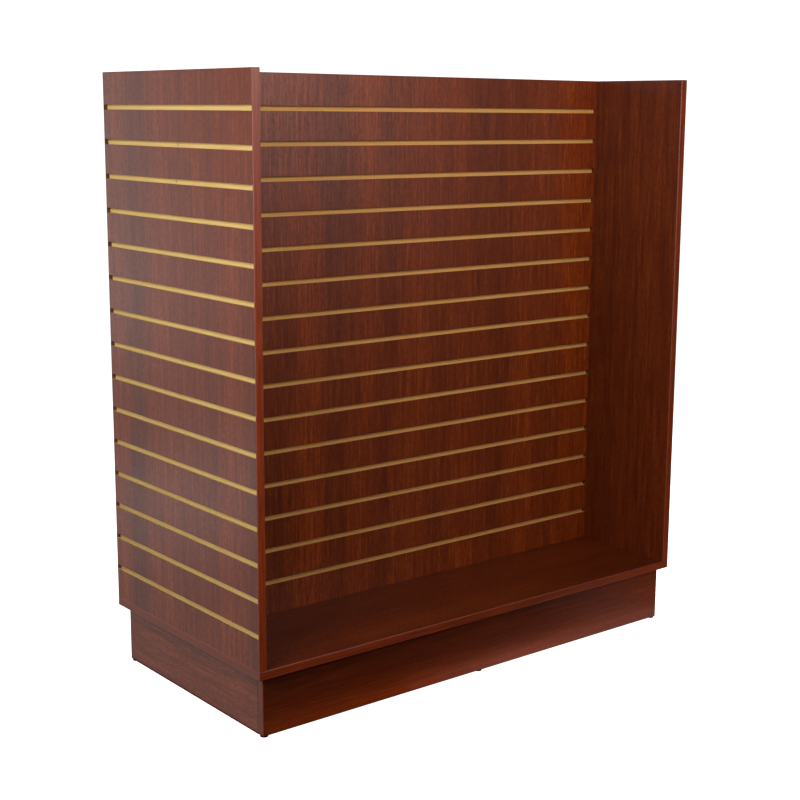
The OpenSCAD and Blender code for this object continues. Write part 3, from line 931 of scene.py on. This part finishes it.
@dataclass
class WoodScrews:
    """A group of countersunk wood screws with a cross recess and a rolled thread."""

    node: str
    finish: Finish
    slot: str
    steps: int = 16
    # The head's upright rim, and how far in its face begins
    rim: float = 0.12 * MM
    rim_inset: float = 0.15 * MM
    # Share of the shank's radius that is left between the thread's turns
    root: float = 0.7
    pitch: float = 1.9 * MM
    # Where a turn's valley begins and ends, as shares of the pitch
    valley: tuple[float, float] = (0.35, 0.65)
    plain_neck: float = 3.0 * MM
    # The point's length beside the shank's width
    point: float = 2.0
    recess_width: float = 1.0 * MM
    recess_depth: float = 1.7 * MM
    # How far the recess reaches from the axis beside the head's width, and how narrow its floor is
    recess_reach: float = 0.33
    recess_floor: float = 0.45

    def seats(self) -> list[ScrewSeat]:
        """Reads each screw's seat from its solid: the wider end is its head.

        Returns:
            One seat for each screw.
        """
        found = []
        for solid in islands(self.node):
            low, high = box_of(solid)
            size = high - low
            axis = max(range(3), key=lambda i: size[i])
            along = Vector([float(i == axis) for i in range(3)])
            near = [v for v in solid if v[axis] - low[axis] < ON_PLANE]
            far = [v for v in solid if high[axis] - v[axis] < ON_PLANE]
            at_low = self.width(near, axis) > self.width(far, axis)
            middle = (low + high) / 2
            middle[axis] = low[axis] if at_low else high[axis]
            head_width = self.width(near if at_low else far, axis)
            found.append(ScrewSeat(middle, along if at_low else -along, size[axis],
                                   self.shank_width(solid, axis, head_width), head_width))
        return found

    @staticmethod
    def width(corners: list[Vector], axis: int) -> float:
        """Gives the width of a ring of corners across an axis."""
        low, high = box_of(corners)
        return max((high - low)[i] for i in range(3) if i != axis)

    def shank_width(self, solid: list[Vector], axis: int, head_width: float) -> float:
        """Gives the shank's width: that of the widest ring narrower than the head.

        Args:
            solid: The screw's corners.
            axis: The number of the axis that it points along.
            head_width: The head's width.

        Returns:
            The shank's width.
        """
        rings: dict[int, list[Vector]] = {}
        for corner in solid:
            rings.setdefault(round(corner[axis] / ON_PLANE), []).append(corner)
        widths = [self.width(ring, axis) for ring in rings.values()]
        return max(w for w in widths if w < head_width - 10 * ON_PLANE)

    def profile(self, seat: ScrewSeat) -> list[tuple[float, float]]:
        """Gives the screw's half section, head first, with the thread's turns as rings.

        Args:
            seat: The seat whose sizes the screw takes.

        Returns:
            The radius and the height of each point.
        """
        head, shank = seat.head_width / 2, seat.shank / 2
        core = shank * self.root
        start, tip = head - shank + self.plain_neck, seat.length - self.point * seat.shank
        points = [(0, 0), (head - self.rim_inset, 0), (head, self.rim),
                  (shank, head - shank + self.rim), (shank, start)]
        for turn in range(int((tip - start) / self.pitch)):
            at = start + turn * self.pitch
            points += [(core, at + share * self.pitch) for share in self.valley]
            points.append((shank, at + self.pitch))
        points += [(core, tip), (0, seat.length)]
        return points

    def master(self, seat: ScrewSeat) -> bpy.types.Mesh:
        """Builds one screw at the origin, pointing along +Z, with its cross recess cut.

        Args:
            seat: The seat whose sizes the screw takes.

        Returns:
            The screw's mesh.
        """
        body = bmesh.new()
        lathe(body, self.profile(seat), self.steps)
        screw = make_object("screw_blank", body, [self.finish])
        cutters = []
        for turn in (0, math.pi / 2):
            bar = bmesh.new()
            reach = seat.head_width * self.recess_reach
            size = Matrix.Diagonal((2 * reach, self.recess_width, 2 * self.recess_depth, 1))
            bmesh.ops.create_cube(bar, size=1, matrix=Matrix.Rotation(turn, 4, "Z") @ size)
            floor = [v for v in bar.verts if v.co.z > 0]
            bmesh.ops.scale(bar, verts=floor, vec=(self.recess_floor, self.recess_floor, 1))
            cutters.append(make_object("recess_bar", bar, [self.finish]))
            cut = screw.modifiers.new("recess", "BOOLEAN")
            cut.object, cut.operation, cut.solver = cutters[-1], "DIFFERENCE", "EXACT"
        seen = bpy.context.evaluated_depsgraph_get()
        cut_mesh = bpy.data.meshes.new_from_object(screw.evaluated_get(seen))
        for spare in (screw, *cutters):
            bpy.data.objects.remove(spare)
        return cut_mesh

    def build(self) -> None:
        """Builds the group in place of its node."""
        seats = self.seats()
        master = self.master(seats[0])
        bm = bmesh.new()
        for seat in seats:
            first = len(bm.verts)
            bm.from_mesh(master)
            bm.verts.ensure_lookup_table()
            turn = Z.rotation_difference(seat.direction).to_matrix().to_4x4()
            bmesh.ops.transform(bm, verts=bm.verts[first:],
                                matrix=Matrix.Translation(seat.head) @ turn)
        place_piece(make_object(f"{self.node}_threaded", bm, [self.finish]), self.slot, self.node)


@dataclass
class Hardware:
    """The screws and angle braces that hold the unit together."""

    def build(self) -> None:
        """Builds the screws and dresses the braces."""
        for node in ("left_foot_screws", "right_foot_screws", "centre_foot_screws",
                     "block_side_screws", "block_deck_screws"):
            WoodScrews(node, ZINC, "zinc_steel").build()
        for node in ("left_tie_screws", "right_tie_screws"):
            WoodScrews(node, YELLOW_ZINC, "yellow_zinc_steel").build()
        WoodScrews("brace_screws", ZINC, "zinc_steel", pitch=1.6 * MM, plain_neck=1.0 * MM,
                   recess_depth=1.3 * MM).build()
        dress("angle_braces", ZINC)


@dataclass
class PhotoCamera:
    """The photograph's camera, as its eight hundred pixel square frame was measured."""

    frame_px: float = 800.0
    focal_px: float = 1459.39
    centre_px: tuple[float, float] = (416.21, 384.92)
    sensor_mm: float = 36.0
    # Place of the lens in the unit's frame
    place: Vector = Vector((-2179.89, -2707.91, 1292.94)) * MM
    yaw: float = math.radians(-39.226)
    pitch: float = math.radians(-10.578)
    roll: float = math.radians(-0.445)

    def build(self) -> None:
        """Makes the camera and gives it to the scene."""
        data = bpy.data.cameras.new("photo_camera")
        data.sensor_width = self.sensor_mm
        data.lens = self.focal_px / self.frame_px * self.sensor_mm
        data.shift_x = (self.frame_px / 2 - self.centre_px[0]) / self.frame_px
        data.shift_y = (self.centre_px[1] - self.frame_px / 2) / self.frame_px
        data.dof.use_dof = False
        turn = (Matrix.Rotation(self.yaw, 3, "Z") @ Matrix.Rotation(self.pitch, 3, "X")
                @ Matrix.Rotation(self.roll, 3, "Y"))
        basis = Matrix((turn @ X, turn @ Z, -(turn @ Y))).transposed()
        camera = bpy.data.objects.new("photo_camera", data)
        camera.matrix_world = Matrix.Translation(self.place) @ basis.to_4x4()
        bpy.context.scene.collection.objects.link(camera)
        bpy.context.scene.camera = camera


@dataclass
class SoftBox:
    """A studio softbox or a bounce card: a flat area light that looks at a point."""

    name: str
    place: tuple[float, float, float]
    target: tuple[float, float, float]
    width: float
    height: float
    power: float
    tint: str = WHITE

    def build(self) -> None:
        """Makes the light and turns it to its target."""
        data = bpy.data.lights.new(self.name, "AREA")
        data.shape = "RECTANGLE"
        data.size, data.size_y = self.width, self.height
        data.energy = self.power
        data.color = linear(self.tint)[:3]
        lamp = bpy.data.objects.new(self.name, data)
        look = Vector(self.target) - Vector(self.place)
        lamp.rotation_euler = look.to_track_quat("-Z", "Y").to_euler()
        lamp.location = self.place
        lamp.visible_camera = False
        bpy.context.scene.collection.objects.link(lamp)


# The floor beside the plinth takes the cherry's colour and throws it back
CHERRY_GLOW = "#FF7C30"
# The lights of a fading patch lie this far above each other, because lights that overlap in
# one plane hide each other
LIGHT_GAP = 0.05 * MM


def bounce(name: str, low: tuple[float, float], high: tuple[float, float], power: float,
           tint: str = SoftBox.tint, height: float = 6 * MM) -> SoftBox:
    """Gives the light that a bright patch of the floor throws back up.

    Args:
        name: The light's name.
        low: The patch's lowest X and Y.
        high: Its highest X and Y.
        power: The light's power in watts.
        tint: The light's colour.
        height: How far the light lies above the floor.

    Returns:
        The light, lying just above the floor and looking up.
    """
    x, y = (low[0] + high[0]) / 2, (low[1] + high[1]) / 2
    return SoftBox(name, place=(x, y, height), target=(x, y, 1.0), width=high[0] - low[0],
                   height=high[1] - low[1], power=power, tint=tint)


def fading(name: str, low: tuple[float, float], high: tuple[float, float], power: float,
           fade: tuple[float, float], height: float, tint: str = SoftBox.tint,
           steps: int = 5) -> tuple[SoftBox, ...]:
    """Gives a bright patch of the floor whose light fades towards its ends along X.

    Args:
        name: The patch's name.
        low: The patch's lowest X and Y.
        high: Its highest X and Y.
        power: The patch's power in watts.
        fade: How far along X the light fades at the low end and at the high end.
        height: How far the patch lies above the floor.
        tint: The light's colour.
        steps: How many equally bright lights make up the patch, one inside the other.

    Returns:
        The lights.
    """
    spans = [(low[0] + fade[0] * step / (steps - 1), high[0] - fade[1] * step / (steps - 1))
             for step in range(steps)]
    whole = sum(last - first for first, last in spans)
    return tuple(bounce(f"{name}_{count}", (first, low[1]), (last, high[1]),
                        power * (last - first) / whole, tint, height + count * LIGHT_GAP)
                 for count, (first, last) in enumerate(spans))


@dataclass(frozen=True)
class PaleSweep(Finish):
    """The studio's pale sweep: matt white paper, lit from behind so that it looks white."""

    colour: str = "#F4F4F4"
    glow: float = 1.2
    roughness: float = 0.9

    def shader(self, tree: bpy.types.NodeTree) -> bpy.types.Node:
        """Builds the even white of the sweep."""
        return add_node(tree, "ShaderNodeBsdfPrincipled", {
            "Base Color": linear(self.colour), "Roughness": self.roughness,
            "Emission Color": linear(WHITE), "Emission Strength": self.glow})


@dataclass
class Studio:
    """The plain pale floor and backdrop, the soft lights and the even light of the room."""

    floor_radius: float = 14.0
    backdrop_radius: float = 15.4
    room_light: float = 0.01
    # Softboxes in front, at the left, behind and at the right, and then the light that the
    # floor throws back up: broad patches first, and the narrow ones before the plinth last
    lights: tuple[SoftBox, ...] = (
        SoftBox("near_key", (0.0, -1.2, 1.7), (0.0, 0.0, 1.0), 0.5, 0.5, 4.8),
        SoftBox("front_softbox", (-0.2, -2.4, 1.8), (0.0, 0.0, 0.8), 0.9, 0.9, 12.9),
        SoftBox("front_right_softbox", (1.2, -2.4, 1.4), (0.0, 0.0, 0.8), 0.9, 0.9, 5.9),
        SoftBox("left_front_low", (-2.1, -0.9, 1.0), (-0.6, 0.0, 0.8), 0.9, 0.9, 8.4),
        SoftBox("left_front_high", (-2.1, -0.9, 1.7), (-0.6, 0.0, 0.8), 0.9, 0.9, 10.3),
        SoftBox("left_softbox", (-2.1, -0.3, 1.7), (-0.6, 0.0, 0.8), 0.9, 0.9, 15.3),
        SoftBox("back_left_strip", (-2.2, 2.8, 1.15), (-0.6, 0.0, 0.8), 0.9, 2.0, 4.3),
        SoftBox("back_left_low", (-2.2, 2.8, 0.4), (-0.6, 0.0, 0.8), 0.9, 0.7, 1.0),
        SoftBox("back_strip", (-1.6, 3.2, 1.15), (-0.6, 0.0, 0.8), 0.9, 2.0, 8.5),
        SoftBox("right_fill", (2.6, 0.2, 1.5), (0.6, 0.0, 0.8), 1.2, 1.2, 22),
        SoftBox("back_fill", (1.3, 2.6, 1.7), (0.2, 0.0, 0.8), 1.2, 1.2, 22),
        bounce("back_left_bounce", (-2.4, 1.0), (-1.2, 2.1), 7.2),
        bounce("left_bounce", (-1.45, -0.29), (-0.612, 1.3), 2.0),
        bounce("front_right_bounce", (0.45, -1.17), (1.05, -0.32), 0.17),
        bounce("kick_end_glow", (0.66, -0.6), (1.05, -0.32), 0.24, CHERRY_GLOW),
        *fading("kick_left_glow", (-0.6, -0.357), (-0.2, -0.287), 0.044, (0.0, 0.2),
                5.0 * MM, CHERRY_GLOW),
        *fading("kick_inner_glow", (-0.4, -0.352), (0.04, -0.287), 0.049, (0.2, 0.2),
                4.7 * MM, CHERRY_GLOW),
        *fading("kick_middle_glow", (-0.16, -0.342), (0.4, -0.287), 0.075, (0.2, 0.2),
                4.4 * MM, CHERRY_GLOW),
        *fading("kick_right_glow", (0.2, -0.377), (0.66, -0.287), 0.081, (0.2, 0.0),
                4.1 * MM, CHERRY_GLOW),
        *fading("kick_near_sheen", (-0.2, -0.337), (0.66, -0.287), 0.055, (0.36, 0.0), 3.8 * MM),
        *fading("kick_far_sheen", (0.1, -0.4), (0.66, -0.287), 0.0175, (0.3, 0.0), 3.5 * MM),
    )

    def build(self) -> None:
        """Builds the studio round the unit."""
        scene = bpy.context.scene
        scene.view_settings.view_transform = "Standard"
        scene.view_settings.look = "None"
        self.floor()
        self.backdrop()
        self.room()
        for light in self.lights:
            light.build()

    def floor(self) -> None:
        """Lays the floor, which the unit stands on but doesn't mirror."""
        bm = bmesh.new()
        bmesh.ops.create_circle(bm, cap_ends=True, radius=self.floor_radius, segments=64)
        self.set_aside(make_object("studio_floor", bm, [PaleSweep("pale_floor")]))

    def backdrop(self) -> None:
        """Hangs the backdrop, a wide sphere of white paper round the floor."""
        bm = bmesh.new()
        bmesh.ops.create_uvsphere(bm, u_segments=48, v_segments=24, radius=self.backdrop_radius)
        bmesh.ops.reverse_faces(bm, faces=bm.faces)
        self.set_aside(make_object("studio_backdrop", bm, [PaleSweep("pale_backdrop")]))

    @staticmethod
    def set_aside(stage: bpy.types.Object) -> None:
        """Keeps a stage object's light and shadow off the unit.

        Args:
            stage: The floor or the backdrop.
        """
        stage.visible_diffuse = False
        stage.visible_glossy = False
        stage.visible_shadow = False

    def room(self) -> None:
        """Fills the room with dim even light."""
        world = bpy.data.worlds.new("studio_room")
        world.use_nodes = True
        world.node_tree.nodes.clear()
        sky = add_node(world.node_tree, "ShaderNodeBackground", {
            "Color": linear(WHITE), "Strength": self.room_light})
        add_node(world.node_tree, "ShaderNodeOutputWorld", {"Surface": sky.outputs[0]})
        bpy.context.scene.world = world


def main() -> None:
    """Builds the camera, the unit's sub-assemblies and the studio, in that order."""
    logging.basicConfig(level=logging.INFO, format="%(message)s")
    PhotoCamera().build()
    parts = (
        EndPanel("left_end", -X, Y, place=1.0),
        EndPanel("right_end", X, Y, place=20.0),
        CentreSheet("front_centre", -Y, X, place=30.0),
        CentreSheet("back_centre", Y, X, place=40.0),
        Deck(),
        Plinth(),
        Glides(),
        Hardware(),
    )
    for part in parts:
        LOG.info("building %s", type(part).__name__)
        part.build()
    Studio().build()


if __name__ == "__main__":
    main()
